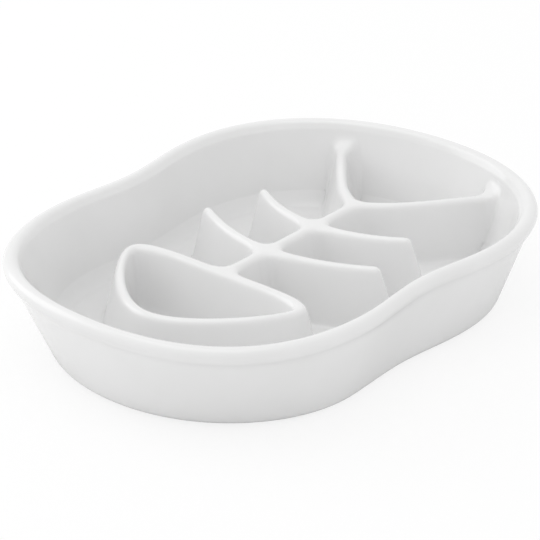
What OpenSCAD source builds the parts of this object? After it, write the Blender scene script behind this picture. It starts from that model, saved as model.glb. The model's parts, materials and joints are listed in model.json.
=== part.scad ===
// Ceramic slow feeder bowl: a two-lobed bowl with a rolled lip, and a fish-bone
// maze of rounded ridges that stands on its floor.
// X runs along the bowl, from the head of the fish bone to its tail. Z is up.
// The origin is under the middle of the bowl, on the surface that it stands on.

/* [Rim] */
// Overall length, over the lip
outer_length = 250; // [230:5:280]
// Overall width over the lip, across the tail lobe
tail_lobe_width = 184.8; // [178:0.2:200]
// Overall width over the lip, across the head lobe
head_lobe_width = 177.8; // [172:0.2:190]
// Overall width over the lip, at the waist between the lobes
waist_width = 172.8; // [166:0.2:182]
// From the middle of the bowl to the widest place of the head lobe
head_lobe_x = 43; // [36:1:50]
// From the middle of the bowl to the waist, towards the head
waist_x = 8.2; // [4:0.2:14]
// From the middle of the bowl to the widest place of the tail lobe
tail_lobe_x = 43; // [36:1:50]
// Diameter of the bead that rolls round the rim
lip_d = 6.8; // [6:0.2:8]
// How far the bead stands out past the wall
lip_overhang = 2.3; // [1.6:0.1:2.8]

/* [Bowl] */
// Overall height, from the foot to the top of the lip
bowl_h = 45.5; // [42:0.5:54]
// How far the base draws in from the lip's centre line at the nose
base_nose_in = 12; // [8:0.5:16]
// How far the base draws in from the lip's centre line at the end of the tail
base_tail_in = 13.5; // [9:0.5:16]
// How far the base draws in from the lip's centre line at the sides of the lobes
base_side_in = 10; // [7:0.5:12]
// How far the base draws in from the lip's centre line at the waist
base_waist_in = 8.5; // [6:0.5:12]
// From the middle of the bowl to the waist of the base, towards the head
base_waist_x = 11; // [4:0.5:16]
// From the middle of the bowl to the widest place of the base's tail lobe
base_tail_lobe_x = 39; // [34:1:48]
// Thickness of the wall where it meets the floor
wall_foot_t = 6; // [5:0.5:7]
// Rounding of the outer edge round the base
base_round = 3; // [1:0.2:4]
// Cove where the wall turns into the floor
floor_cove = 5; // [3:0.5:6]
// Thickness of the floor
floor_t = 5.5; // [4:0.5:8]

/* [Foot] */
// Height of the unglazed foot
foot_h = 1; // [0.6:0.1:2]
// Width of the unglazed foot
foot_w = 5; // [3:0.5:7]
// How far the foot stands in from the edge of the base
foot_in = 3.6; // [2.4:0.2:6]

/* [Ridges] */
// From the top of the lip down to the tops of the ridges
ridge_drop = 11.2; // [8:0.2:16]
// Radius of the rounded top of a ridge
crest_r = 3.1; // [2:0.1:3.2]
// Slope of the ridge sides from upright, in degrees
ridge_draft = 13; // [8:0.5:14]
// Slope of the ribs' tips from upright, in degrees
tip_draft = 18; // [8:0.5:20]
// Cove where a ridge turns into the floor
ridge_cove = 1.6; // [0.8:0.2:2]
// Reach of the web in a corner between two ridges, at their tops
web_top = 8; // [5:0.5:9]
// Reach of the web in a corner between two ridges, at the floor
web_foot = 2; // [1:0.2:2.4]

/* [Head ring] */
// Lane left between the head ring's foot and the wall's cove, at the ring's nose
nose_lane = 4.9; // [2:0.1:8]
// From the middle of the bowl to the widest place of the head ring
head_cheek_x = 43.2; // [41:0.2:46]
// Width of the head ring between its crests, at the widest place
head_w = 95; // [84:0.2:98]
// From the middle of the bowl to the back of the head ring
head_back_x = 36.4; // [35:0.2:38]

/* [Spine, ribs and tail] */
// From the middle of the bowl to the root of the front ribs, towards the head
front_rib_x = 6.8; // [5:0.1:8]
// How far the front ribs' tips lie behind their roots
front_rib_sweep = 15.4; // [12:0.2:18]
// From the spine to the tips of the front ribs
front_rib_reach = 48.4; // [38:0.2:50]
// From the middle of the bowl to the root of the rear ribs
rear_rib_x = 26.8; // [26:0.1:28]
// How far the rear ribs' tips lie behind their roots
rear_rib_sweep = 13.8; // [10:0.2:16]
// From the spine to the tips of the rear ribs
rear_rib_reach = 41.4; // [34:0.2:44]
// How far a rib bows forward of the straight line from root to tip
rib_bow = 3.2; // [1:0.1:4]
// From the middle of the bowl to the fork of the tail
fork_x = 55; // [54:0.1:57]
// From the spine to where a tail fin reaches the wall
fin_reach = 48; // [40:0.5:52]
// How far a tail fin sweeps back from the fork to the wall
fin_sweep = 54; // [48:0.5:58]
// How far a tail fin's top rises where it meets the wall
fin_rise = 4; // [1:0.5:5]
// Depth of the rounded hollow inside the fork
fork_fill = 2; // [1:0.2:3]

/* [Hidden] */

glaze = [0.95, 0.95, 0.94];
bisque = [0.86, 0.83, 0.78];

// Clearance left where a fin's end meets the curved wall
seam = 0.05;
// Slope of the lip's inner side from upright, in degrees, where the bead runs into the wall
lip_lean = 22;

// Bezier handles of the bowl's outline, each a share of its span: nose, head lobe, waist, tail lobe
rim_nose_shares = [0.84, 0.424];
base_nose_shares = [0.59, 0.5];
lobe_head_shares = [0.25, 0.27];
lobe_waist_shares = [0.35, 0.39];
lobe_tail_shares = [0.573, 0.614];
// Bezier handles of the head ring, each a share of its span: nose to cheek, cheek to back
ring_side_shares = [0.43, 0.19];
ring_back_shares = [0.9, 0.47];
// How much of a move inwards also moves the ring's widest place towards the nose
ring_cheek_share = 0.75;
// Width of a rib's tip and of a fin's middle, as a share of the ridge's full width
rib_tip_share = 0.85;
fin_waist_share = 0.9;
// Heading of a tail fin where it leaves the fork, from the X axis, in degrees
fin_heading = 51.7;
// Where a tail fin turns from that heading towards its end, as a share of its length
fin_bend_share = 0.2;
// Reach of the web where a tail fin meets the wall, on the side towards the head and on
// the side towards the tail, as a share of the web in a corner
fin_head_web_share = 0.25;
fin_tail_web_share = 1;

lip_r = lip_d / 2;
lip_z = bowl_h - lip_r;
half_l = outer_length / 2 - lip_r;
half_w = tail_lobe_width / 2 - lip_r;
wall_out = lip_r - lip_overhang;
seat_z = lip_z - sqrt(lip_r * lip_r - wall_out * wall_out);
lip_in = lip_r / cos(lip_lean) + (lip_z - seat_z) * tan(lip_lean);
floor_z = foot_h + floor_t;
ridge_z = bowl_h - ridge_drop;
ridge_h = ridge_z - floor_z;

// Steps round the rim in each span of its half outline: nose, head lobe, waist, tail lobe
rim_steps = [22, 8, 10, 22];
// Steps of the rounded sections: the bead's outer and inner side, the coves, the wall's height
bead_steps = [8, 5];
cove_steps = 4;
wall_steps = 4;
// Steps round the head ring in each span of its half outline: nose to cheek, cheek to back
ring_steps = [18, 12];

function cubic(p, t) =
    pow(1 - t, 3) * p[0] + 3 * pow(1 - t, 2) * t * p[1] + 3 * (1 - t) * t * t * p[2] + pow(t, 3) * p[3];

// Direction in which a cubic runs at share t
function cubic_heading(p, t) =
    let (d = quadratic([p[1] - p[0], p[2] - p[1], p[3] - p[2]], t)) d / norm(d);

function quadratic(p, t) = (1 - t) * (1 - t) * p[0] + 2 * (1 - t) * t * p[1] + t * t * p[2];

function mix(a, b, t) = a * (1 - t) + b * t;

function left_of(d) = [-d.y, d.x];

// A half outline and its mirror image, as one closed loop without repeated points
function closed_loop(half) =
    concat(half, [for (i = [len(half) - 2 : -1 : 1]) [half[i].x, -half[i].y]]);

// Half of a closed outline with two lobes, from the nose of the bowl to the end of its tail
function lobed_half(nose, head, waist, lobe, tail, nose_shares) = let (
    spans = [
        [nose, nose + [0, head.y * nose_shares[0]],
         head - [(head.x - nose.x) * nose_shares[1], 0], head],
        [head, head + [(waist.x - head.x) * lobe_head_shares[0], 0],
         waist - [(waist.x - head.x) * lobe_head_shares[1], 0], waist],
        [waist, waist + [(lobe.x - waist.x) * lobe_waist_shares[0], 0],
         lobe - [(lobe.x - waist.x) * lobe_waist_shares[1], 0], lobe],
        [lobe, lobe + [(tail.x - lobe.x) * lobe_tail_shares[0], 0],
         tail + [0, lobe.y * lobe_tail_shares[1]], tail]]
) [for (s = [0 : 3]) for (i = [0 : rim_steps[s] - (s < 3 ? 1 : 0)]) cubic(spans[s], i / rim_steps[s])];

// The lip's centre line
rim = closed_loop(lobed_half(
    [-half_l, 0],
    [-head_lobe_x, head_lobe_width / 2 - lip_r],
    [-waist_x, waist_width / 2 - lip_r],
    [tail_lobe_x, half_w],
    [half_l, 0],
    rim_nose_shares));

// The outline of the base
base = closed_loop(lobed_half(
    [base_nose_in - half_l, 0],
    [-head_lobe_x, head_lobe_width / 2 - lip_r - base_side_in],
    [-base_waist_x, waist_width / 2 - lip_r - base_waist_in],
    [base_tail_lobe_x, half_w - base_side_in],
    [half_l - base_tail_in, 0],
    base_nose_shares));

function drawn_in(course, inset) =
    [for (p = course) [p.x * (half_l - inset) / half_l, p.y * (half_w - inset) / half_w]];

// How far down the wall a height lies, from 0 under the lip to 1 at the base
function wall_share(z) = (seat_z - z) / (seat_z - foot_h);

// The wall's outline at a height, without the rounding at its base
function wall_course(z) = let (top = drawn_in(rim, -wall_out))
    [for (i = [0 : len(rim) - 1]) mix(top[i], base[i], wall_share(z))];

// How far a rounding of a radius has cut into a corner, at a height above the corner
function rounding(r, h) = let (lost = max(0, r - h)) r - sqrt(r * r - lost * lost);

// Thickness of the wall at a height
function wall_t(z) = mix(wall_out + lip_in, wall_foot_t, (seat_z - z) / (seat_z - floor_z));

// The wall's outer face at a height
function outer_at(z) = drawn_in(wall_course(z), rounding(base_round, z - foot_h));

// The wall's inner face at a height, with the cove at its foot, drawn in further by an inset
function inner_at(z, inset = 0) =
    drawn_in(wall_course(z), wall_t(z) + rounding(floor_cove, z - floor_z) + inset);

function loop_at(course, z) = [for (p = course) [p.x, p.y, z]];

// A solid whose section is carried round a closed course: one loop of points for
// each corner of the section, with the same number of points in every loop.
module carried_round(loops) {
    n = len(loops);
    m = len(loops[0]);
    points = [for (loop = loops) each loop];
    faces = [for (j = [0 : n - 1]) for (i = [0 : m - 1])
        let (this = j * m, next = ((j + 1) % n) * m, k = (i + 1) % m)
        each [[this + i, this + k, next + k], [this + i, next + k, next + i]]];
    polyhedron(points, faces);
}

// A ridge as a strip of stations. Each station lists the points of its left and of
// its right edge, one for each level of the ridge's section, from the foot up.
// The ends are closed level by level, so that they lie flush on the ridge or wall
// that they meet. end_middles, if given, are points between the edges of the far end.
module ridge_strip(lefts, rights, end_middles = []) {
    n = len(lefts[0]);
    k = len(lefts);
    ring = 2 * n;
    last = (k - 1) * ring;
    middle = k * ring;
    points = concat(
        [for (s = [0 : k - 1]) each concat(lefts[s], [for (i = [n - 1 : -1 : 0]) rights[s][i]])],
        end_middles);
    sides = [for (s = [0 : k - 2]) for (j = [0 : ring - 1])
        let (a = s * ring + j, b = s * ring + (j + 1) % ring)
        each [[a, b + ring, b], [a, a + ring, b + ring]]];
    start = [for (a = [0 : n - 2])
        let (b = a + 1, c = ring - 2 - a, d = ring - 1 - a)
        each [[a, c, d], [a, b, c]]];
    plain_end = [for (i = [0 : n - 2])
        let (a = last + i, b = a + 1, c = last + ring - 2 - i, d = c + 1)
        each [[a, c, b], [a, d, c]]];
    split_end = concat(
        [for (i = [0 : n - 2])
            let (a = last + i, b = a + 1, c = last + ring - 2 - i, d = c + 1, e = middle + i, f = e + 1)
            each [[a, f, b], [a, e, f], [e, c, f], [e, d, c]]],
        [[last + n - 1, middle + n - 1, last + n], [last, last + ring - 1, middle]]);
    polyhedron(points, concat(sides, start, len(end_middles) > 0 ? split_end : plain_end));
}

// The edges of all levels, one list of points each, turned into one list for each station
function stations(edges) = [for (s = [0 : len(edges[0]) - 1]) [for (edge = edges) edge[s]]];

function mirrored(points) = [for (p = points) [p.x, -p.y, p.z]];

// Section of a ridge from the foot up: its half width and its height above the floor
// at each level. The cove comes first, then the rounded crest, up to a narrow flat.
cove_level_shares = [0, 0.3, 1];
cove_width_shares = [1, 0.42, 0];
crest_steps = 3;
crest_end = 80;
shoulder = [crest_r * cos(ridge_draft), ridge_h - crest_r * (sin(crest_end) - sin(ridge_draft))];

// Half width of a ridge's straight side at a height above the floor
function side_half(h) = shoulder[0] + (shoulder[1] - h) * tan(ridge_draft);

section = concat(
    [for (i = [0 : len(cove_level_shares) - 1]) let (h = ridge_cove * cove_level_shares[i])
        [side_half(h) + ridge_cove * cove_width_shares[i], h]],
    [for (i = [0 : crest_steps]) let (a = mix(ridge_draft, crest_end, i / crest_steps))
        [crest_r * cos(a), ridge_h - crest_r * (sin(crest_end) - sin(a))]]);
levels = len(section);
half_widths = [for (s = section) s[0]];
heights = [for (s = section) floor_z + s[1]];

// From the middle of the bowl to the nose of the head ring, at its crest
head_nose_x = -inner_at(floor_z)[0].x - half_widths[0] - nose_lane;

// Reach of a corner's web at a level
function web(i) = mix(web_top, web_foot, (ridge_z - heights[i]) / ridge_h);

// The points of a course in plan, at the height of a level
function at_level(course, i) = [for (p = course) [p.x, p.y, heights[i]]];

// Half of the head ring's course, from the nose to the back, moved out by a distance.
// Moved inwards, its corners keep a radius of their own.
function head_half(out) = let (
    inner = min(out, 0),
    outer = max(out, 0),
    nose = [-head_nose_x - inner, 0],
    cheek = [-head_cheek_x + inner * ring_cheek_share, head_w / 2 + inner],
    back = [-head_back_x + inner, half_widths[0] + web_foot + web_top],
    side = [nose, nose + [0, cheek.y * ring_side_shares[0]],
            cheek - [(cheek.x - nose.x) * ring_side_shares[1], 0], cheek],
    rear = [cheek, cheek + [(back.x - cheek.x) * ring_back_shares[0], 0],
            back + [0, (cheek.y - back.y) * ring_back_shares[1]], back]
) concat(
    [for (i = [0 : ring_steps[0] - 1]) let (t = i / ring_steps[0])
        cubic(side, t) + left_of(cubic_heading(side, t)) * outer],
    [for (i = [0 : ring_steps[1]]) let (t = i / ring_steps[1])
        cubic(rear, t) + left_of(cubic_heading(rear, t)) * outer]);

function head_loop(out) = let (half = head_half(out))
    concat(half, [for (i = [len(half) - 1 : -1 : 1]) [half[i].x, -half[i].y]]);

module rolled_lip() {
    start = -asin((lip_z - seat_z) / lip_r);
    bead = concat(
        [for (i = [1 : bead_steps[0]]) mix(start, 90, i / bead_steps[0])],
        [for (i = [1 : bead_steps[1]]) mix(90, 180 - lip_lean, i / bead_steps[1])]);
    color(glaze)
    carried_round(concat(
        [loop_at(drawn_in(rim, -wall_out), seat_z)],
        [for (a = bead) loop_at(drawn_in(rim, -lip_r * cos(a)), lip_z + lip_r * sin(a))],
        [loop_at(inner_at(seat_z), seat_z)]));
}

module bowl_wall() {
    bends = [for (i = [0 : cove_steps]) 1 - cos(90 * i / cove_steps)];
    outside = concat(
        [for (bend = bends) foot_h + base_round * bend],
        [for (i = [1 : wall_steps - 1]) mix(foot_h + base_round, seat_z, i / (wall_steps - 1))]);
    inside = concat(
        [for (bend = bends) floor_z + floor_cove * bend],
        [for (i = [1 : wall_steps - 1]) mix(floor_z + floor_cove, seat_z, i / (wall_steps - 1))]);
    color(glaze)
    carried_round(concat(
        [for (z = outside) loop_at(outer_at(z), z)],
        [for (i = [len(inside) - 1 : -1 : 0]) loop_at(inner_at(inside[i]), inside[i])],
        [loop_at(inner_at(floor_z), foot_h)]));
}

module bowl_floor() {
    color(glaze)
    translate([0, 0, foot_h]) linear_extrude(floor_t) polygon(inner_at(floor_z));
}

module foot_ring() {
    color(bisque)
    linear_extrude(foot_h) difference() {
        polygon(drawn_in(outer_at(foot_h), foot_in));
        polygon(drawn_in(outer_at(foot_h), foot_in + foot_w));
    }
}

module head_ring() {
    color(glaze)
    carried_round(concat(
        [for (i = [0 : levels - 1]) at_level(head_loop(half_widths[i]), i)],
        [for (i = [levels - 1 : -1 : 0]) at_level(head_loop(-half_widths[i]), i)]));
}

web_steps = 5;

// A corner rounded from a reach along its one edge to the same reach along the other
function rounded_corner(corner, towards_a, towards_b, reach) =
    let (bend = [corner + towards_a * reach, corner, corner + towards_b * reach])
    [for (t = [0 : web_steps]) quadratic(bend, t / web_steps)];

module spine() {
    // Left edge at a level, from the back of the head ring to the fork
    function edge(i) = let (
        w = half_widths[i],
        start = [-head_back_x + w, w],
        slope = [cos(fin_heading), sin(fin_heading)],
        end = [fork_x - w / sin(fin_heading) + w / tan(fin_heading), w],
        reach = web(i)
    ) at_level(concat(
        rounded_corner(start, [0, 1], [1, 0], reach),
        rounded_corner(end, [-1, 0], slope, reach)), i);
    lefts = stations([for (i = [0 : levels - 1]) edge(i)]);
    rights = [for (station = lefts) mirrored(station)];
    middles = [for (i = [0 : levels - 1]) [fork_x - half_widths[i] / sin(fin_heading), 0, heights[i]]];
    color(glaze) ridge_strip(lefts, rights, middles);
}

// A point of an arc from a to b that bows to the left by a height, at share t of the way
function bowed(a, b, bow, t) = let (
    chord = b - a,
    span = norm(chord),
    normal = [-chord.y, chord.x] / span
) mix(a, b, t) + normal * bow * 4 * t * (1 - t);

function heading_at(a, b, bow, t) = let (
    chord = b - a,
    span = norm(chord),
    normal = [-chord.y, chord.x] / span,
    d = chord + normal * bow * 4 * (1 - 2 * t)
) d / norm(d);

rib_steps = 9;
tip_steps = 4;

// A rib on the left side of the spine: its root lies on the spine's side, and its
// tip is round in plan and slopes like its sides.
module rib(root_x, sweep, reach) {
    root = [root_x, 0];
    tip = [root_x + sweep, reach];
    // Edge at a level, on one side of the rib (1 towards the head, -1 towards the tail)
    function edge(i, side) = let (
        w = half_widths[i],
        slim = w * rib_tip_share,
        lean = (ridge_z - heights[i]) * (tan(tip_draft) - tan(ridge_draft)),
        first = (w + web(i)) / reach,
        first_heading = heading_at(root, tip, rib_bow, first),
        near = bowed(root, tip, rib_bow, first) + left_of(first_heading) * side * w,
        corner = [near.x - first_heading.x / first_heading.y * (near.y - w), w],
        foot = [corner.x - side * web(i), w],
        d = heading_at(root, tip, rib_bow, 1)
    ) at_level(concat(
        [for (t = [0 : web_steps - 1]) quadratic([foot, corner, near], t / web_steps)],
        [for (s = [0 : rib_steps]) let (t = mix(first, 1, s / rib_steps))
            bowed(root, tip, rib_bow, t)
            + left_of(heading_at(root, tip, rib_bow, t)) * side * mix(w, slim, s / rib_steps)],
        [for (s = [1 : tip_steps]) let (a = 90 * s / (tip_steps + 0.5))
            tip + left_of(d) * side * slim * cos(a) + d * (slim + lean) * sin(a)]), i);
    ridge_strip(stations([for (i = [0 : levels - 1]) edge(i, 1)]),
                stations([for (i = [0 : levels - 1]) edge(i, -1)]));
}

module front_rib() {
    rib(-front_rib_x, front_rib_sweep, front_rib_reach);
}

module rear_rib() {
    rib(rear_rib_x, rear_rib_sweep, rear_rib_reach);
}

module front_rib_left() {
    color(glaze) front_rib();
}

module front_rib_right() {
    color(glaze) mirror([0, 1, 0]) front_rib();
}

module rear_rib_left() {
    color(glaze) rear_rib();
}

module rear_rib_right() {
    color(glaze) mirror([0, 1, 0]) rear_rib();
}

// Shares along the line from a to b at which it crosses a closed loop
function crossings(a, b, loop) = let (d = b - a) [for (i = [0 : len(loop) - 1]) let (
    from = loop[i],
    e = loop[(i + 1) % len(loop)] - from,
    det = d.y * e.x - d.x * e.y,
    t = ((from.y - a.y) * e.x - (from.x - a.x) * e.y) / det,
    u = ((from.y - a.y) * d.x - (from.x - a.x) * d.y) / det
) if (t >= 0 && t <= 1 && u >= 0 && u < 1) t];

// Share of a line of points at which it first crosses a closed loop
function first_crossing(line, loop) =
    min([for (s = [0 : len(line) - 2]) for (t = crossings(line[s], line[s + 1], loop)) s + t])
    / (len(line) - 1);

// The point at a share of a line of points
function point_on(line, share) = let (
    s = min(floor(share * (len(line) - 1)), len(line) - 2)
) mix(line[s], line[s + 1], share * (len(line) - 1) - s);

fin_steps = 12;
fin_samples = 48;
fork_steps = 3;
// How far past its measured end a fin's course is followed to find the wall, as a share
fin_search_share = 1.15;
// The last part of a fin, in which it spreads and rises to meet the wall, as a share
fin_spread_share = 0.085;
fin_rise_share = 0.075;
// How much closer together a fin's stations lie towards the wall, as a power
fin_crowding = 1.8;

// The tail fin on the left side: it meets its mirror image on the middle plane,
// and its far end lies on the wall's inner face.
module fin() {
    fork = [fork_x, 0];
    end = [fork_x + fin_sweep, fin_reach];
    out = [cos(fin_heading), sin(fin_heading)];
    start = fork + out * (half_widths[0] + web_foot) / sin(fin_heading);
    bend = [start, start + out * norm(end - start) * fin_bend_share, end];
    // Growth from 0 to 1 over the last part of the way
    function late(t, part) = pow(max(0, (t - 1 + part) / part), 2);
    // A point on an edge: w is the half width, and spread is added where it meets the wall
    function edge_point(t, side, w, spread, far) = let (
        d = mix(bend[1] - bend[0], bend[2] - bend[1], t),
        slim = mix(1, fin_waist_share, max(0, 4 * t * (1 - t))),
        half = w * slim + spread * late(t / far, fin_spread_share)
    ) quadratic(bend, t) + left_of(d / norm(d)) * side * half;
    function edge_line(side, w, spread, far) =
        [for (s = [0 : fin_samples]) edge_point(fin_search_share * s / fin_samples, side, w, spread, far)];
    // Edge at a level, on one side of the fin (1 towards the head, -1 towards the tail)
    function edge(i, side) = let (
        w = half_widths[i],
        rise = fin_rise * pow(max(0, (heights[i] - floor_z) / ridge_h), 4),
        face = inner_at(min(heights[i] + rise, seat_z), seam),
        hollow = side > 0 ? 0 : fork_fill,
        mitre = fork - [side * w / sin(fin_heading), 0],
        inside = mitre + [hollow, 0],
        slant = mitre + [hollow, hollow * tan(fin_heading)],
        plain_far = first_crossing(edge_line(side, w, 0, 1), face),
        web_share = side > 0 ? fin_head_web_share : fin_tail_web_share,
        line = edge_line(side, w, web(i) * web_share, plain_far * fin_search_share),
        far = first_crossing(line, face)
    ) concat(
        at_level([for (t = [0 : fork_steps - 1]) quadratic([inside, slant, line[0]], t / fork_steps)], i),
        [for (s = [0 : fin_steps]) let (
            t = 1 - pow(1 - s / fin_steps, fin_crowding),
            p = point_on(line, far * t)
        ) [p.x, p.y, heights[i] + rise * late(t, fin_rise_share)]]);
    ridge_strip(stations([for (i = [0 : levels - 1]) edge(i, 1)]),
                stations([for (i = [0 : levels - 1]) edge(i, -1)]));
}

module tail_fin_left() {
    color(glaze) fin();
}

module tail_fin_right() {
    color(glaze) mirror([0, 1, 0]) fin();
}

rolled_lip();
bowl_wall();
bowl_floor();
foot_ring();
head_ring();
spine();
front_rib_left();
front_rib_right();
rear_rib_left();
rear_rib_right();
tail_fin_left();
tail_fin_right();
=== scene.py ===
"""A ceramic slow feeder bowl: one glazed shell with a rolled lip, and a fish-bone maze in it.

Every length is in metres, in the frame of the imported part: X runs from the head of
the fish bone to its tail, Z is up, and the bowl stands on Z = 0. Angles are in degrees.
"""

import json
import logging
import math
from dataclasses import dataclass, field
from enum import Enum

import bmesh
import bpy
import numpy as np
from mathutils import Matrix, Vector

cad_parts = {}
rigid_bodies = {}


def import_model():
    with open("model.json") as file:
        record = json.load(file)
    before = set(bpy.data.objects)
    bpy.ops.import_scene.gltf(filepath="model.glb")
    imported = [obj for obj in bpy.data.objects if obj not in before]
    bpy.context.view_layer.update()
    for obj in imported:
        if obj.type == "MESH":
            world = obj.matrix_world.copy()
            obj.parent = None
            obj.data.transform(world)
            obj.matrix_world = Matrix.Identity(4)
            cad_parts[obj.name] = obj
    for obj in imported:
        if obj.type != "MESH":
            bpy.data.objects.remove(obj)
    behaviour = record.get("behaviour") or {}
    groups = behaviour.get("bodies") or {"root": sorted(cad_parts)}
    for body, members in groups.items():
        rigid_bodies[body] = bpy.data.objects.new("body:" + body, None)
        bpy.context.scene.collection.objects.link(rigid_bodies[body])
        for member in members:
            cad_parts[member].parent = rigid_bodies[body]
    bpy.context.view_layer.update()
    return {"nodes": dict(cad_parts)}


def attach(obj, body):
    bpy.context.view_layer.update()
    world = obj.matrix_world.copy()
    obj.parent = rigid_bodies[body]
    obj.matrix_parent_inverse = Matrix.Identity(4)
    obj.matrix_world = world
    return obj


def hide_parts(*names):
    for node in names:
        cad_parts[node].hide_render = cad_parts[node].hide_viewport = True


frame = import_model()

LOG = logging.getLogger("slow_feeder_bowl")
MM = 0.001
MERGE_DISTANCE = 0.005 * MM
CUT_TOLERANCE = 0.001 * MM
SUBDIVISIONS = 2
WHITE = 1.0

Course = list[Vector]
Colour = tuple[float, float, float, float]


class Slot(Enum):
    """Material slots of the record."""

    GLAZE = "glaze"
    BISQUE = "bisque"


# Helpers for operators and modifiers


def deselect_all() -> None:
    """Leave edit mode and deselect every object."""
    if bpy.context.object is not None and bpy.context.object.mode != "OBJECT":
        bpy.ops.object.mode_set(mode="OBJECT")
    bpy.ops.object.select_all(action="DESELECT")


def make_active(obj: bpy.types.Object) -> None:
    """Make one object the only selected one, and the active one.

    Args:
        obj: The object.
    """
    deselect_all()
    obj.select_set(True)
    bpy.context.view_layer.objects.active = obj


def apply_modifier(obj: bpy.types.Object, kind: str, **settings: object) -> None:
    """Add a modifier to an object and apply it.

    Args:
        obj: The object that gets the modifier.
        kind: The modifier's type, such as SUBSURF.
        **settings: Values that are set on the modifier first.
    """
    make_active(obj)
    modifier = obj.modifiers.new(kind.lower(), kind)
    for name, value in settings.items():
        setattr(modifier, name, value)
    bpy.ops.object.modifier_apply(modifier=modifier.name)


def subdivide(obj: bpy.types.Object) -> None:
    """Smooth an object with an applied Subdivision Surface."""
    apply_modifier(obj, "SUBSURF", levels=SUBDIVISIONS, render_levels=SUBDIVISIONS)


def close_and_face_outwards() -> None:
    """Fill the open ends of the mesh in edit mode, turn its faces outwards, and leave it."""
    bpy.ops.mesh.select_all(action="SELECT")
    bpy.ops.mesh.fill_holes(sides=0)
    bpy.ops.mesh.select_all(action="SELECT")
    bpy.ops.mesh.normals_make_consistent(inside=False)
    bpy.ops.object.mode_set(mode="OBJECT")


# Helpers for curves


def mix(a: float, b: float, t: float) -> float:
    """Value at share t of the way from a to b."""
    return a + (b - a) * t


def quarter_turn(steps: int) -> list[float]:
    """Shares of a radius that a quarter circle rises by, from 0 to 1."""
    return [1 - math.cos(math.pi / 2 * i / steps) for i in range(steps + 1)]


def along_x(start: Vector, end: Vector, share: float) -> Vector:
    """A step along X, as a share of the way from one point to another."""
    return Vector(((end.x - start.x) * share, 0))


def cubic(points: tuple[Vector, Vector, Vector, Vector], t: float) -> Vector:
    """Point of a cubic Bezier curve.

    Args:
        points: Its four control points.
        t: Share of the way along it.

    Returns:
        The point.
    """
    a, b, c, d = points
    s = 1 - t
    return a * s**3 + b * (3 * s * s * t) + c * (3 * s * t * t) + d * t**3


def carried_round(name: str, loops: list[Course]) -> bpy.types.Object:
    """Carry a section round a closed course, smooth it, and close its two ends.

    Args:
        name: The piece's name.
        loops: One loop of points for each corner of the section.

    Returns:
        The closed piece.
    """
    deselect_all()
    bpy.ops.mesh.primitive_circle_add(vertices=len(loops[0]), fill_type="NOTHING")
    piece = bpy.context.object
    piece.name = name
    bpy.ops.object.mode_set(mode="EDIT")
    mesh = bmesh.from_edit_mesh(piece.data)
    mesh.verts.ensure_lookup_table()
    order = mesh.verts.layers.int.new("order")
    for i, vert in enumerate(mesh.verts):
        vert[order] = i
        vert.co = loops[0][i]
    bmesh.update_edit_mesh(piece.data)
    for loop in loops[1:]:
        bpy.ops.mesh.extrude_region_move(TRANSFORM_OT_translate={"value": (0, 0, 0)})
        mesh = bmesh.from_edit_mesh(piece.data)
        order = mesh.verts.layers.int["order"]
        for vert in mesh.verts:
            if vert.select:
                vert.co = loop[vert[order]]
        bmesh.update_edit_mesh(piece.data)
    bpy.ops.object.mode_set(mode="OBJECT")
    subdivide(piece)
    bpy.ops.object.mode_set(mode="EDIT")
    close_and_face_outwards()
    bpy.ops.object.shade_smooth()
    return piece


@dataclass(frozen=True)
class LobedOutline:
    """A closed outline in plan, from the nose round a head lobe, a waist and a tail lobe.

    nose and tail are its ends on X, and head, waist and lobe are the points between
    them where it runs level. Each pair of shares places two Bezier handles, as shares
    of their span, and steps are the points in each of the four spans.
    """

    nose: float
    head: tuple[float, float]
    waist: tuple[float, float]
    lobe: tuple[float, float]
    tail: float
    nose_shares: tuple[float, float]
    head_shares: tuple[float, float] = (0.25, 0.27)
    waist_shares: tuple[float, float] = (0.35, 0.39)
    tail_shares: tuple[float, float] = (0.573, 0.614)
    steps: tuple[int, int, int, int] = (22, 8, 10, 22)

    def course(self) -> Course:
        """Points of the outline, once round, without a repeated one.

        Returns:
            The points, in plan.
        """
        nose, tail = Vector((self.nose, 0)), Vector((self.tail, 0))
        head, waist, lobe = Vector(self.head), Vector(self.waist), Vector(self.lobe)
        spans = (
            (nose, nose + Vector((0, head.y * self.nose_shares[0])),
             head - along_x(nose, head, self.nose_shares[1]), head),
            (head, head + along_x(head, waist, self.head_shares[0]),
             waist - along_x(head, waist, self.head_shares[1]), waist),
            (waist, waist + along_x(waist, lobe, self.waist_shares[0]),
             lobe - along_x(waist, lobe, self.waist_shares[1]), lobe),
            (lobe, lobe + along_x(lobe, tail, self.tail_shares[0]),
             tail + Vector((0, lobe.y * self.tail_shares[1])), tail),
        )
        half = [cubic(span, i / count)
                for span, count in zip(spans, self.steps) for i in range(count)]
        half.append(tail)
        return half + [Vector((p.x, -p.y)) for p in half[-2:0:-1]]


@dataclass(frozen=True)
class Polar:
    """A closed course as a distance from the middle for each direction."""

    angles: np.ndarray
    radii: np.ndarray

    @classmethod
    def of(cls, course: Course) -> "Polar":
        """The polar form of a course."""
        return cls(np.array([math.atan2(p.y, p.x) for p in course]),
                   np.array([p.xy.length for p in course]))

    def radius(self, point: Vector) -> float:
        """The course's distance from the middle, in the direction of a point."""
        angle = math.atan2(point.y, point.x)
        return float(np.interp(angle, self.angles, self.radii, period=2 * math.pi))


class Dressable:
    """A sub-assembly whose piece is dressed in one finish."""

    def dress(self, obj: bpy.types.Object, material: bpy.types.Material, slot: Slot) -> None:
        """Give a piece its finish.

        Args:
            obj: The piece.
            material: Its finish.
            slot: The record's slot. It is not used.
        """
        obj.data.materials.clear()
        obj.data.materials.append(material)


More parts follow.
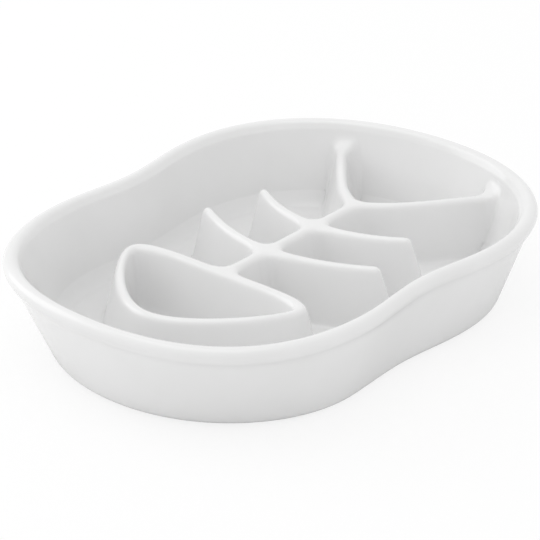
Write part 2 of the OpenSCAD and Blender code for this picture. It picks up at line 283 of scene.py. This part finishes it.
@dataclass
class BowlShell(Dressable):
    """The glazed shell: underside, outer wall and rolled lip, with a hollow for the basin.

    The section's heights and insets that only place its loops, and no form of the bowl,
    are the fields from base_insets on.
    """

    height: float = 45.5 * MM
    lip_radius: float = 3.4 * MM
    lip_overhang: float = 2.3 * MM
    lip_lean: float = 22.0
    lip_fillet: float = 5 * MM
    wall_foot_thickness: float = 6 * MM
    base_round: float = 3 * MM
    floor_cove: float = 5 * MM
    floor_z: float = 6.5 * MM
    foot_height: float = 1 * MM
    join_z: float = 40.3 * MM
    hollow_depth: float = 1 * MM
    rim: LobedOutline = LobedOutline(
        nose=-121.6 * MM, head=(-43 * MM, 85.5 * MM), waist=(-8.2 * MM, 83 * MM),
        lobe=(43 * MM, 89 * MM), tail=121.6 * MM, nose_shares=(0.84, 0.424))
    base: LobedOutline = LobedOutline(
        nose=-109.6 * MM, head=(-43 * MM, 75.5 * MM), waist=(-11 * MM, 74.5 * MM),
        lobe=(39 * MM, 79 * MM), tail=108.1 * MM, nose_shares=(0.59, 0.5))
    base_insets: tuple[float, ...] = (6 * MM, 3 * MM, 0.8 * MM)
    base_steps: int = 4
    wall_shares: tuple[float, ...] = (0.05, 0.35, 0.7, 0.95)
    fillet_course: tuple[tuple[float, float], ...] = (
        (0.1, 0.0), (0.45, 0.16 * MM), (0.8, 0.6 * MM), (1.08, 1.2 * MM))
    bead_top: float = 90.0
    bead_outer_steps: int = 9
    bead_first_step: int = 3
    bead_inner_steps: int = 5
    join_steps: tuple[float, ...] = (1.6 * MM, 0.8 * MM, 0.0, -0.8 * MM)
    hollow_steps: tuple[float, ...] = (1.6 * MM, 4 * MM)

    @property
    def lip_z(self) -> float:
        """Height of the bead's middle."""
        return self.height - self.lip_radius

    @property
    def cove_top(self) -> float:
        """Height at which the cove ends and the wall's inner face begins."""
        return self.floor_z + self.floor_cove

    @property
    def wall_out(self) -> float:
        """How far the wall's top stands out from the lip's centre line."""
        return self.lip_radius - self.lip_overhang

    @property
    def seat_z(self) -> float:
        """Height at which the bead turns in to the wall's outer face."""
        return self.lip_z - math.sqrt(self.lip_radius**2 - self.wall_out**2)

    @property
    def lip_in(self) -> float:
        """How far the wall's inner face lies in from the lip's centre line, at its top."""
        lean = math.radians(self.lip_lean)
        return self.lip_radius / math.cos(lean) + (self.lip_z - self.seat_z) * math.tan(lean)

    def drawn_in(self, course: Course, inset: float, z: float) -> Course:
        """Draw a course in by a length, and lay it at one height.

        Args:
            course: The course.
            inset: How far in, at the nose and at the tail lobe. Less than 0 is out.
            z: The height.

        Returns:
            The loop.
        """
        along = 1 + inset / self.rim.nose
        across = 1 - inset / self.rim.lobe[1]
        return [Vector((p.x * along, p.y * across, z)) for p in course]

    def wall_course(self, z: float) -> Course:
        """The wall's outline at a height, mixed from the rim's and the base's.

        Args:
            z: The height.

        Returns:
            The loop.
        """
        share = (self.seat_z - z) / (self.seat_z - self.foot_height)
        top = self.drawn_in(self.rim.course(), -self.wall_out, z)
        return [a.lerp(b.to_3d(), share) for a, b in zip(top, self.base.course())]

    def outer(self, z: float, out: float = 0.0) -> Course:
        """The wall's outer face at a height, with the rounding at its base.

        Args:
            z: The height.
            out: How much further out the loop lies.

        Returns:
            The loop.
        """
        lost = max(0.0, self.base_round - (z - self.foot_height))
        cut = self.base_round - math.sqrt(self.base_round**2 - lost**2)
        return self.drawn_in(self.wall_course(z), cut - out, z)

    def inner(self, z: float, inset: float = 0.0) -> Course:
        """The wall's inner face at a height, with the cove at its foot.

        Args:
            z: The height.
            inset: How much further in the loop lies.

        Returns:
            The loop.
        """
        down = (self.seat_z - z) / (self.seat_z - self.floor_z)
        thick = mix(self.wall_out + self.lip_in, self.wall_foot_thickness, down)
        lost = max(0.0, self.floor_cove - (z - self.floor_z))
        cove = self.floor_cove - math.sqrt(self.floor_cove**2 - lost**2)
        return self.drawn_in(self.wall_course(z), thick + cove + inset, z)

    def bead(self, degrees: float) -> Course:
        """The bead's surface at an angle up from its outer side.

        Args:
            degrees: The angle.

        Returns:
            The loop.
        """
        a = math.radians(degrees)
        out = self.lip_radius * math.cos(a)
        return self.drawn_in(self.rim.course(), -out, self.lip_z + self.lip_radius * math.sin(a))

    def underside(self) -> list[Course]:
        """The section's loops on the underside and up the outer wall.

        Returns:
            The loops, from the foot ring outwards and up.
        """
        base = self.outer(self.foot_height)
        loops = [self.drawn_in(base, inset, self.foot_height) for inset in self.base_insets]
        loops += [self.outer(self.foot_height + self.base_round * rise)
                  for rise in quarter_turn(self.base_steps)]
        start, end = self.foot_height + self.base_round, self.seat_z - self.lip_fillet
        return loops + [self.outer(mix(start, end, share)) for share in self.wall_shares]

    def lip(self) -> list[Course]:
        """The section's loops from the fillet under the bead, over it to its inner side.

        Returns:
            The loops, from the outside in.
        """
        turn = -math.degrees(math.asin((self.lip_z - self.seat_z) / self.lip_radius))
        low = self.seat_z - self.lip_fillet
        loops = [self.outer(low + self.lip_fillet * rise, out) for rise, out in self.fillet_course]
        loops += [self.bead(mix(turn, self.bead_top, i / self.bead_outer_steps))
                  for i in range(self.bead_first_step, self.bead_outer_steps + 1)]
        loops += [self.bead(mix(self.bead_top, 180 - self.lip_lean, i / self.bead_inner_steps))
                  for i in range(1, self.bead_inner_steps + 1)]
        return loops

    def hollow(self) -> list[Course]:
        """The section's loops in the hollow behind the basin.

        Returns:
            The loops, from the lip down.
        """
        deep, join = self.hollow_depth, self.join_z
        loops = [self.inner(join + step) for step in self.join_steps]
        loops += [self.inner(join - step, -deep) for step in self.hollow_steps]
        loops.append(self.inner(self.cove_top, -deep))
        floor = self.inner(self.floor_z)
        return loops + [self.drawn_in(floor, inset, self.floor_z - deep)
                        for inset in (-deep, self.floor_cove)]

    def build(self) -> bpy.types.Object:
        """Build the shell.

        Returns:
            The closed shell.
        """
        return carried_round("glazed_shell", self.underside() + self.lip() + self.hollow())


@dataclass
class Basin(Dressable):
    """The inner wall, the floor and the fish-bone maze, run together as one glazed surface.

    A block takes the bowl's inner face, the ridges are joined to it, and a remesh fills
    every corner between them as glaze does.
    """

    shell: BowlShell = field(default_factory=BowlShell)
    ridges: tuple[str, ...] = (
        "head_ring", "spine", "front_rib_left", "front_rib_right",
        "rear_rib_left", "rear_rib_right", "tail_fin_left", "tail_fin_right")
    ridge_crease: float = 50.0
    quad_threshold: float = 0.7
    block_margin: float = 8 * MM
    block_top: float = 44.5 * MM
    block_edge: float = 0.5 * MM
    block_wall_top: float = 42 * MM
    wall_shares: tuple[float, ...] = (0.0, 0.35, 0.65, 0.92)
    cove_steps: int = 5
    floor_insets: tuple[float, ...] = (1 * MM, 4 * MM)
    back_depth: float = 2 * MM
    back_levels: tuple[float, ...] = (28 * MM, 19 * MM)
    voxel: float = 0.62 * MM
    soften: int = 14
    soften_factor: float = 0.5
    fin_end: tuple[float, float, float] = (108 * MM, 49 * MM, 38 * MM)
    fin_end_reach: float = 13 * MM
    fin_end_soften: int = 24
    keep: float = 0.35
    smooth_angle: float = 60.0

    def ridge(self, node: str) -> bpy.types.Object:
        """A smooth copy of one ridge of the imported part.

        Args:
            node: The ridge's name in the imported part.

        Returns:
            The copy, with its doubles merged and its facets smoothed away.
        """
        source = frame["nodes"][node]
        copy = source.copy()
        copy.data = source.data.copy()
        bpy.context.scene.collection.objects.link(copy)
        for key in [key for key in copy.keys() if key.startswith("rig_")]:
            del copy[key]
        copy.parent = None
        copy.name = node + "_form"
        make_active(copy)
        bpy.ops.object.mode_set(mode="EDIT")
        bpy.ops.mesh.select_all(action="SELECT")
        bpy.ops.mesh.remove_doubles(threshold=MERGE_DISTANCE)
        bpy.ops.mesh.tris_convert_to_quads(
            face_threshold=self.quad_threshold, shape_threshold=self.quad_threshold)
        bpy.ops.mesh.select_all(action="DESELECT")
        bpy.ops.mesh.select_mode(type="EDGE")
        bpy.ops.mesh.edges_select_sharp(sharpness=math.radians(self.ridge_crease))
        mesh = bmesh.from_edit_mesh(copy.data)
        layers = mesh.edges.layers.float
        crease = layers.get("crease_edge") or layers.new("crease_edge")
        for edge in mesh.edges:
            edge[crease] = 1.0 if edge.select else 0.0
        bmesh.update_edit_mesh(copy.data)
        bpy.ops.object.mode_set(mode="OBJECT")
        subdivide(copy)
        return copy

    def block(self) -> bpy.types.Object:
        """A block with the bowl's inner face sunk into it.

        Returns:
            The closed block.
        """
        shell, out, top = self.shell, -self.block_margin, self.block_top
        loops = [shell.drawn_in(shell.rim.course(), out, z) for z in (0, top)]
        loops += [shell.inner(z) for z in (top, top - self.block_edge, self.block_wall_top)]
        loops += [shell.inner(mix(shell.seat_z, shell.cove_top, share))
                  for share in self.wall_shares]
        loops += [shell.inner(shell.floor_z + shell.floor_cove * rise)
                  for rise in reversed(quarter_turn(self.cove_steps))]
        loops += [shell.inner(shell.floor_z, inset) for inset in self.floor_insets]
        return carried_round("basin_block", loops)

    def fuse(self) -> bpy.types.Object:
        """Run the block and the ridges together, with every corner between them filled.

        Returns:
            The fused block.
        """
        parts = [self.ridge(node) for node in self.ridges]
        basin = self.block()
        deselect_all()
        for part in parts + [basin]:
            part.select_set(True)
        bpy.context.view_layer.objects.active = basin
        bpy.ops.object.join()
        basin.name = "glazed_basin"
        apply_modifier(basin, "REMESH", mode="VOXEL", voxel_size=self.voxel, adaptivity=0.0)
        apply_modifier(basin, "SMOOTH", factor=self.soften_factor, iterations=self.soften)
        self.soften_fin_ends(basin)
        return basin

    def soften_fin_ends(self, basin: bpy.types.Object) -> None:
        """Let the tail fins run softly into the wall.

        The weight is full up to half the reach from a fin's end, and fades to nothing
        at the reach.

        Args:
            basin: The fused block.
        """
        ends = basin.vertex_groups.new(name="fin_ends")
        x, y, z = self.fin_end
        for vert in basin.data.vertices:
            away = (Vector((vert.co.x, abs(vert.co.y), vert.co.z)) - Vector((x, y, z))).length
            weight = min(1.0, 2 - 2 * away / self.fin_end_reach)
            if weight > 0:
                ends.add([vert.index], weight, "REPLACE")
        apply_modifier(basin, "SMOOTH", factor=self.soften_factor,
                       iterations=self.fin_end_soften, vertex_group=ends.name)
        basin.vertex_groups.clear()

    def cut_out(self, basin: bpy.types.Object) -> None:
        """Keep the inner face of the block, up to just under the lip.

        Args:
            basin: The fused block.
        """
        level = self.shell.join_z
        make_active(basin)
        bpy.ops.object.mode_set(mode="EDIT")
        bpy.ops.mesh.select_mode(type="VERT")
        bpy.ops.mesh.select_all(action="SELECT")
        bpy.ops.mesh.bisect(plane_co=(0, 0, level), plane_no=(0, 0, 1),
                            clear_outer=True, threshold=CUT_TOLERANCE)
        bpy.ops.mesh.select_all(action="DESELECT")
        mesh = bmesh.from_edit_mesh(basin.data)
        cut_edge = [vert for vert in mesh.verts if vert.co.z > level - MERGE_DISTANCE]
        innermost = min(cut_edge, key=lambda vert: vert.co.xy.length)
        innermost.select = True
        mesh.select_flush_mode()
        bmesh.update_edit_mesh(basin.data)
        bpy.ops.mesh.select_linked()
        bpy.ops.mesh.select_all(action="INVERT")
        bpy.ops.mesh.delete(type="VERT")
        bpy.ops.object.mode_set(mode="OBJECT")
        apply_modifier(basin, "DECIMATE", ratio=self.keep)

    def back(self, basin: bpy.types.Object) -> None:
        """Close the basin with a plain back, inside the wall and the floor of the shell.

        Args:
            basin: The basin's open inner face.
        """
        shell, deep = self.shell, self.back_depth
        course = Polar.of(shell.inner(shell.join_z))
        steps = [(z, Polar.of(shell.inner(z, -deep)))
                 for z in (shell.join_z, *self.back_levels, shell.cove_top)]
        steps.append((shell.floor_z - deep, Polar.of(shell.inner(shell.floor_z, -deep))))
        make_active(basin)
        bpy.ops.object.mode_set(mode="EDIT")
        bpy.ops.mesh.select_mode(type="EDGE")
        bpy.ops.mesh.select_all(action="DESELECT")
        bpy.ops.mesh.select_non_manifold(
            extend=False, use_wire=False, use_boundary=True,
            use_multi_face=False, use_non_contiguous=False, use_verts=False)
        for z, target in steps:
            bpy.ops.mesh.extrude_region_move(TRANSFORM_OT_translate={"value": (0, 0, 0)})
            mesh = bmesh.from_edit_mesh(basin.data)
            for vert in mesh.verts:
                if vert.select:
                    share = target.radius(vert.co) / course.radius(vert.co)
                    vert.co = (vert.co.x * share, vert.co.y * share, z)
            bmesh.update_edit_mesh(basin.data)
            course = target
        close_and_face_outwards()

    def build(self) -> bpy.types.Object:
        """Build the basin.

        Returns:
            The closed basin.
        """
        basin = self.fuse()
        self.cut_out(basin)
        self.back(basin)
        make_active(basin)
        bpy.ops.object.shade_smooth_by_angle(angle=math.radians(self.smooth_angle))
        return basin


@dataclass
class FootRing:
    """The low bare ring that the bowl stands on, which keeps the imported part's own mesh."""

    node: str = "foot_ring"

    def dress(self, material: bpy.types.Material) -> bpy.types.Object:
        """Give the ring its finish.

        Args:
            material: Its finish.

        Returns:
            The ring.
        """
        foot = frame["nodes"][self.node]
        foot.data.materials.clear()
        foot.data.materials.append(material)
        return foot


# Helpers for materials


def new_material(name: str) -> bpy.types.Material:
    """A new node material.

    Args:
        name: The finish's name.

    Returns:
        The material.
    """
    material = bpy.data.materials.new(name)
    material.use_nodes = True
    return material


def set_inputs(node: bpy.types.Node, values: dict[str, object]) -> None:
    """Set inputs of a node by name."""
    for name, value in values.items():
        node.inputs[name].default_value = value


def add_node(
        tree: bpy.types.NodeTree, kind: str,
        values: dict[str, object] | None = None) -> bpy.types.Node:
    """Add a shader node.

    Args:
        tree: The node tree that gets it.
        kind: The node's type, without the ShaderNode before it.
        values: Values of its inputs, by name.

    Returns:
        The node.
    """
    node = tree.nodes.new("ShaderNode" + kind)
    set_inputs(node, values or {})
    return node


def add_math(
        tree: bpy.types.NodeTree, operation: str, value: float | None = None) -> bpy.types.Node:
    """Add a Math node.

    Args:
        tree: The node tree that gets it.
        operation: What it works out.
        value: Its second input, where that isn't linked.

    Returns:
        The node.
    """
    node = add_node(tree, "Math")
    node.operation = operation
    if value is not None:
        node.inputs[1].default_value = value
    return node


def add_ramp(
        tree: bpy.types.NodeTree, stops: tuple[float, float],
        colours: tuple[Colour, Colour]) -> bpy.types.Node:
    """Add a Color Ramp of two stops.

    Args:
        tree: The node tree that gets it.
        stops: Where its stops lie.
        colours: Their colours.

    Returns:
        The node.
    """
    node = add_node(tree, "ValToRGB")
    for element, stop, colour in zip(node.color_ramp.elements, stops, colours):
        element.position = stop
        element.color = colour
    return node


@dataclass(frozen=True)
class GlazeFinish:
    """A thick white glaze: glossy, very slightly wavy, with a few tiny iron specks."""

    colour: Colour = (0.815, 0.815, 0.815, 1)
    shade: Colour = (0.792, 0.792, 0.79, 1)
    tone_scale: float = 24.0
    tone_detail: float = 3.0
    tone_stops: tuple[float, float] = (0.35, 0.65)
    roughness: float = 0.32
    ior: float = 1.5
    coat: float = 0.7
    coat_roughness: float = 0.1
    wave_scale: float = 70.0
    wave_detail: float = 1.0
    wave_strength: float = 0.3
    wave_height: float = 0.06 * MM
    speck: Colour = (0.34, 0.31, 0.27, 1)
    speck_scale: float = 60.0
    speck_size: float = 0.022
    speck_share: float = 0.93

    def material(self) -> bpy.types.Material:
        """The finish as a node material.

        Returns:
            The material.
        """
        material = new_material("white_glaze")
        tree = material.node_tree
        shader = tree.nodes["Principled BSDF"]
        set_inputs(shader, {
            "Roughness": self.roughness, "IOR": self.ior,
            "Coat Weight": self.coat, "Coat Roughness": self.coat_roughness})
        place = add_node(tree, "TexCoord")
        tone = add_node(tree, "TexNoise", {"Scale": self.tone_scale, "Detail": self.tone_detail})
        ramp = add_ramp(tree, self.tone_stops, (self.shade, self.colour))
        cells = add_node(tree, "TexVoronoi", {"Scale": self.speck_scale})
        near = add_math(tree, "LESS_THAN", self.speck_size)
        pick = add_node(tree, "SeparateColor")
        chosen = add_math(tree, "GREATER_THAN", self.speck_share)
        both = add_math(tree, "MULTIPLY")
        mixed = add_node(tree, "Mix")
        mixed.data_type = "RGBA"
        set_inputs(mixed, {"B": self.speck})
        wave = add_node(tree, "TexNoise", {"Scale": self.wave_scale, "Detail": self.wave_detail})
        bump = add_node(
            tree, "Bump", {"Strength": self.wave_strength, "Distance": self.wave_height})
        links = tree.links
        for texture in (tone, cells, wave):
            links.new(place.outputs["Object"], texture.inputs["Vector"])
        links.new(tone.outputs["Fac"], ramp.inputs["Fac"])
        links.new(cells.outputs["Distance"], near.inputs[0])
        links.new(cells.outputs["Color"], pick.inputs["Color"])
        links.new(pick.outputs["Red"], chosen.inputs[0])
        links.new(near.outputs["Value"], both.inputs[0])
        links.new(chosen.outputs["Value"], both.inputs[1])
        links.new(both.outputs["Value"], mixed.inputs["Factor"])
        links.new(ramp.outputs["Color"], mixed.inputs["A"])
        links.new(mixed.outputs["Result"], shader.inputs["Base Color"])
        links.new(wave.outputs["Fac"], bump.inputs["Height"])
        links.new(bump.outputs["Normal"], shader.inputs["Normal"])
        return material


@dataclass(frozen=True)
class BisqueFinish:
    """Bare fired clay: matt, warm and finely grained."""

    colour: Colour = (0.66, 0.60, 0.51, 1)
    shade: Colour = (0.52, 0.46, 0.38, 1)
    roughness: float = 0.9
    grain_scale: float = 900.0
    grain_detail: float = 4.0
    grain_stops: tuple[float, float] = (0.35, 0.6)
    grain_strength: float = 0.5
    grain_height: float = 0.1 * MM

    def material(self) -> bpy.types.Material:
        """The finish as a node material.

        Returns:
            The material.
        """
        material = new_material("bare_clay")
        tree = material.node_tree
        shader = tree.nodes["Principled BSDF"]
        set_inputs(shader, {"Roughness": self.roughness})
        place = add_node(tree, "TexCoord")
        grain = add_node(
            tree, "TexNoise", {"Scale": self.grain_scale, "Detail": self.grain_detail})
        ramp = add_ramp(tree, self.grain_stops, (self.shade, self.colour))
        bump = add_node(
            tree, "Bump", {"Strength": self.grain_strength, "Distance": self.grain_height})
        links = tree.links
        links.new(place.outputs["Object"], grain.inputs["Vector"])
        links.new(grain.outputs["Fac"], ramp.inputs["Fac"])
        links.new(ramp.outputs["Color"], shader.inputs["Base Color"])
        links.new(grain.outputs["Fac"], bump.inputs["Height"])
        links.new(bump.outputs["Normal"], shader.inputs["Normal"])
        return material


@dataclass(frozen=True)
class Lamp:
    """A soft square lamp, placed round the camera's own direction.

    turn is how far round it hangs, in degrees to the right of the camera, and lift is
    how far up it hangs, in degrees.
    """

    name: str
    turn: float
    lift: float
    distance: float
    size: float
    power: float

    def hang(self, camera_turn: float) -> None:
        """Hang the lamp, facing the middle of the bowl.

        Args:
            camera_turn: The camera's own turn round the bowl.
        """
        turned, up = math.radians(camera_turn + self.turn), math.radians(self.lift)
        place = self.distance * Vector((
            math.sin(turned) * math.cos(up), -math.cos(turned) * math.cos(up), math.sin(up)))
        data = bpy.data.lights.new(self.name, "AREA")
        data.size = self.size
        data.energy = self.power
        lamp = bpy.data.objects.new(self.name, data)
        lamp.location = place
        lamp.rotation_euler = (-place).to_track_quat("-Z", "Y").to_euler()
        bpy.context.scene.collection.objects.link(lamp)


@dataclass
class Studio:
    """The pale floor, the soft lamps and the camera.

    camera_drop is how far the camera looks down and camera_turn is its turn round the
    bowl. lens and sensor are in millimetres.
    """

    camera_place: tuple[float, float, float] = (-652.98 * MM, -538.17 * MM, 440.19 * MM)
    camera_drop: float = 26.370
    camera_turn: float = -50.294
    lens: float = 140.85
    sensor: float = 36.0
    clip_start: float = 10 * MM
    room_light: float = 0.90
    floor_size: float = 8.0
    floor_tone: float = 0.92
    floor_roughness: float = 0.9
    floor_glow: float = 0.82
    lamps: tuple[Lamp, ...] = (
        Lamp("top_lamp", turn=-90, lift=80, distance=1.5, size=1.1, power=2.6),
        Lamp("side_lamp", turn=-110, lift=30, distance=1.5, size=1.1, power=4.2),
    )

    def camera(self) -> None:
        """Place the camera where the photograph was taken from."""
        data = bpy.data.cameras.new("camera")
        data.lens = self.lens
        data.sensor_width = self.sensor
        data.clip_start = self.clip_start
        camera = bpy.data.objects.new("camera", data)
        camera.location = self.camera_place
        camera.rotation_euler = (
            math.radians(90 - self.camera_drop), 0.0, math.radians(self.camera_turn))
        bpy.context.scene.collection.objects.link(camera)
        bpy.context.scene.camera = camera

    def floor(self) -> bpy.types.Object:
        """Lay the floor, which shows nearly white to the camera and keeps the shadow.

        Returns:
            The floor.
        """
        deselect_all()
        bpy.ops.mesh.primitive_plane_add(size=self.floor_size, location=(0, 0, 0))
        floor = bpy.context.object
        floor.name = "floor"
        material = new_material("pale_floor")
        tree = material.node_tree
        shader = tree.nodes["Principled BSDF"]
        set_inputs(shader, {
            "Base Color": (self.floor_tone,) * 3 + (1,), "Roughness": self.floor_roughness})
        white = add_node(tree, "Emission", {"Strength": WHITE})
        blend = add_node(tree, "MixShader")
        path = add_node(tree, "LightPath")
        glow = add_math(tree, "MULTIPLY", self.floor_glow)
        links = tree.links
        links.new(path.outputs["Is Camera Ray"], glow.inputs[0])
        links.new(glow.outputs[0], blend.inputs["Fac"])
        links.new(shader.outputs["BSDF"], blend.inputs[1])
        links.new(white.outputs["Emission"], blend.inputs[2])
        links.new(blend.outputs["Shader"], tree.nodes["Material Output"].inputs["Surface"])
        floor.data.materials.append(material)
        return floor

    def world(self) -> None:
        """Light the room evenly, with a white background behind the bowl."""
        world = bpy.data.worlds.new("studio")
        bpy.context.scene.world = world
        world.use_nodes = True
        tree = world.node_tree
        light = tree.nodes["Background"]
        set_inputs(light, {"Color": (1, 1, 1, 1), "Strength": self.room_light})
        white = add_node(tree, "Background", {"Color": (1, 1, 1, 1), "Strength": WHITE})
        blend = add_node(tree, "MixShader")
        path = add_node(tree, "LightPath")
        links = tree.links
        links.new(path.outputs["Is Camera Ray"], blend.inputs["Fac"])
        links.new(light.outputs["Background"], blend.inputs[1])
        links.new(white.outputs["Background"], blend.inputs[2])
        links.new(blend.outputs["Shader"], tree.nodes["World Output"].inputs["Surface"])

    def build(self) -> bpy.types.Object:
        """Set up the whole studio.

        Returns:
            The floor.
        """
        self.camera()
        self.world()
        for lamp in self.lamps:
            lamp.hang(self.camera_turn)
        return self.floor()


def report(piece: bpy.types.Object, slot: Slot) -> None:
    """Log a finished piece, its number of faces and its slot."""
    LOG.info("%s: %d faces, %s", piece.name, len(piece.data.polygons), slot.value)


def main() -> None:
    """Build the bowl and its studio, piece by piece."""
    logging.basicConfig(level=logging.INFO, format="%(relativeCreated)8d ms  %(message)s")
    bpy.context.scene.view_settings.view_transform = "Standard"
    glaze = GlazeFinish().material()
    bisque = BisqueFinish().material()

    outside = BowlShell()
    shell = outside.build()
    outside.dress(shell, glaze, Slot.GLAZE)
    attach(shell, "root")
    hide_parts("rolled_lip", "bowl_wall")
    report(shell, Slot.GLAZE)

    layout = Basin(outside)
    basin = layout.build()
    layout.dress(basin, glaze, Slot.GLAZE)
    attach(basin, "root")
    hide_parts("bowl_floor", *layout.ridges)
    report(basin, Slot.GLAZE)

    report(FootRing().dress(bisque), Slot.BISQUE)

    floor = Studio().build()
    LOG.info("studio is set")


if __name__ == "__main__":
    main()
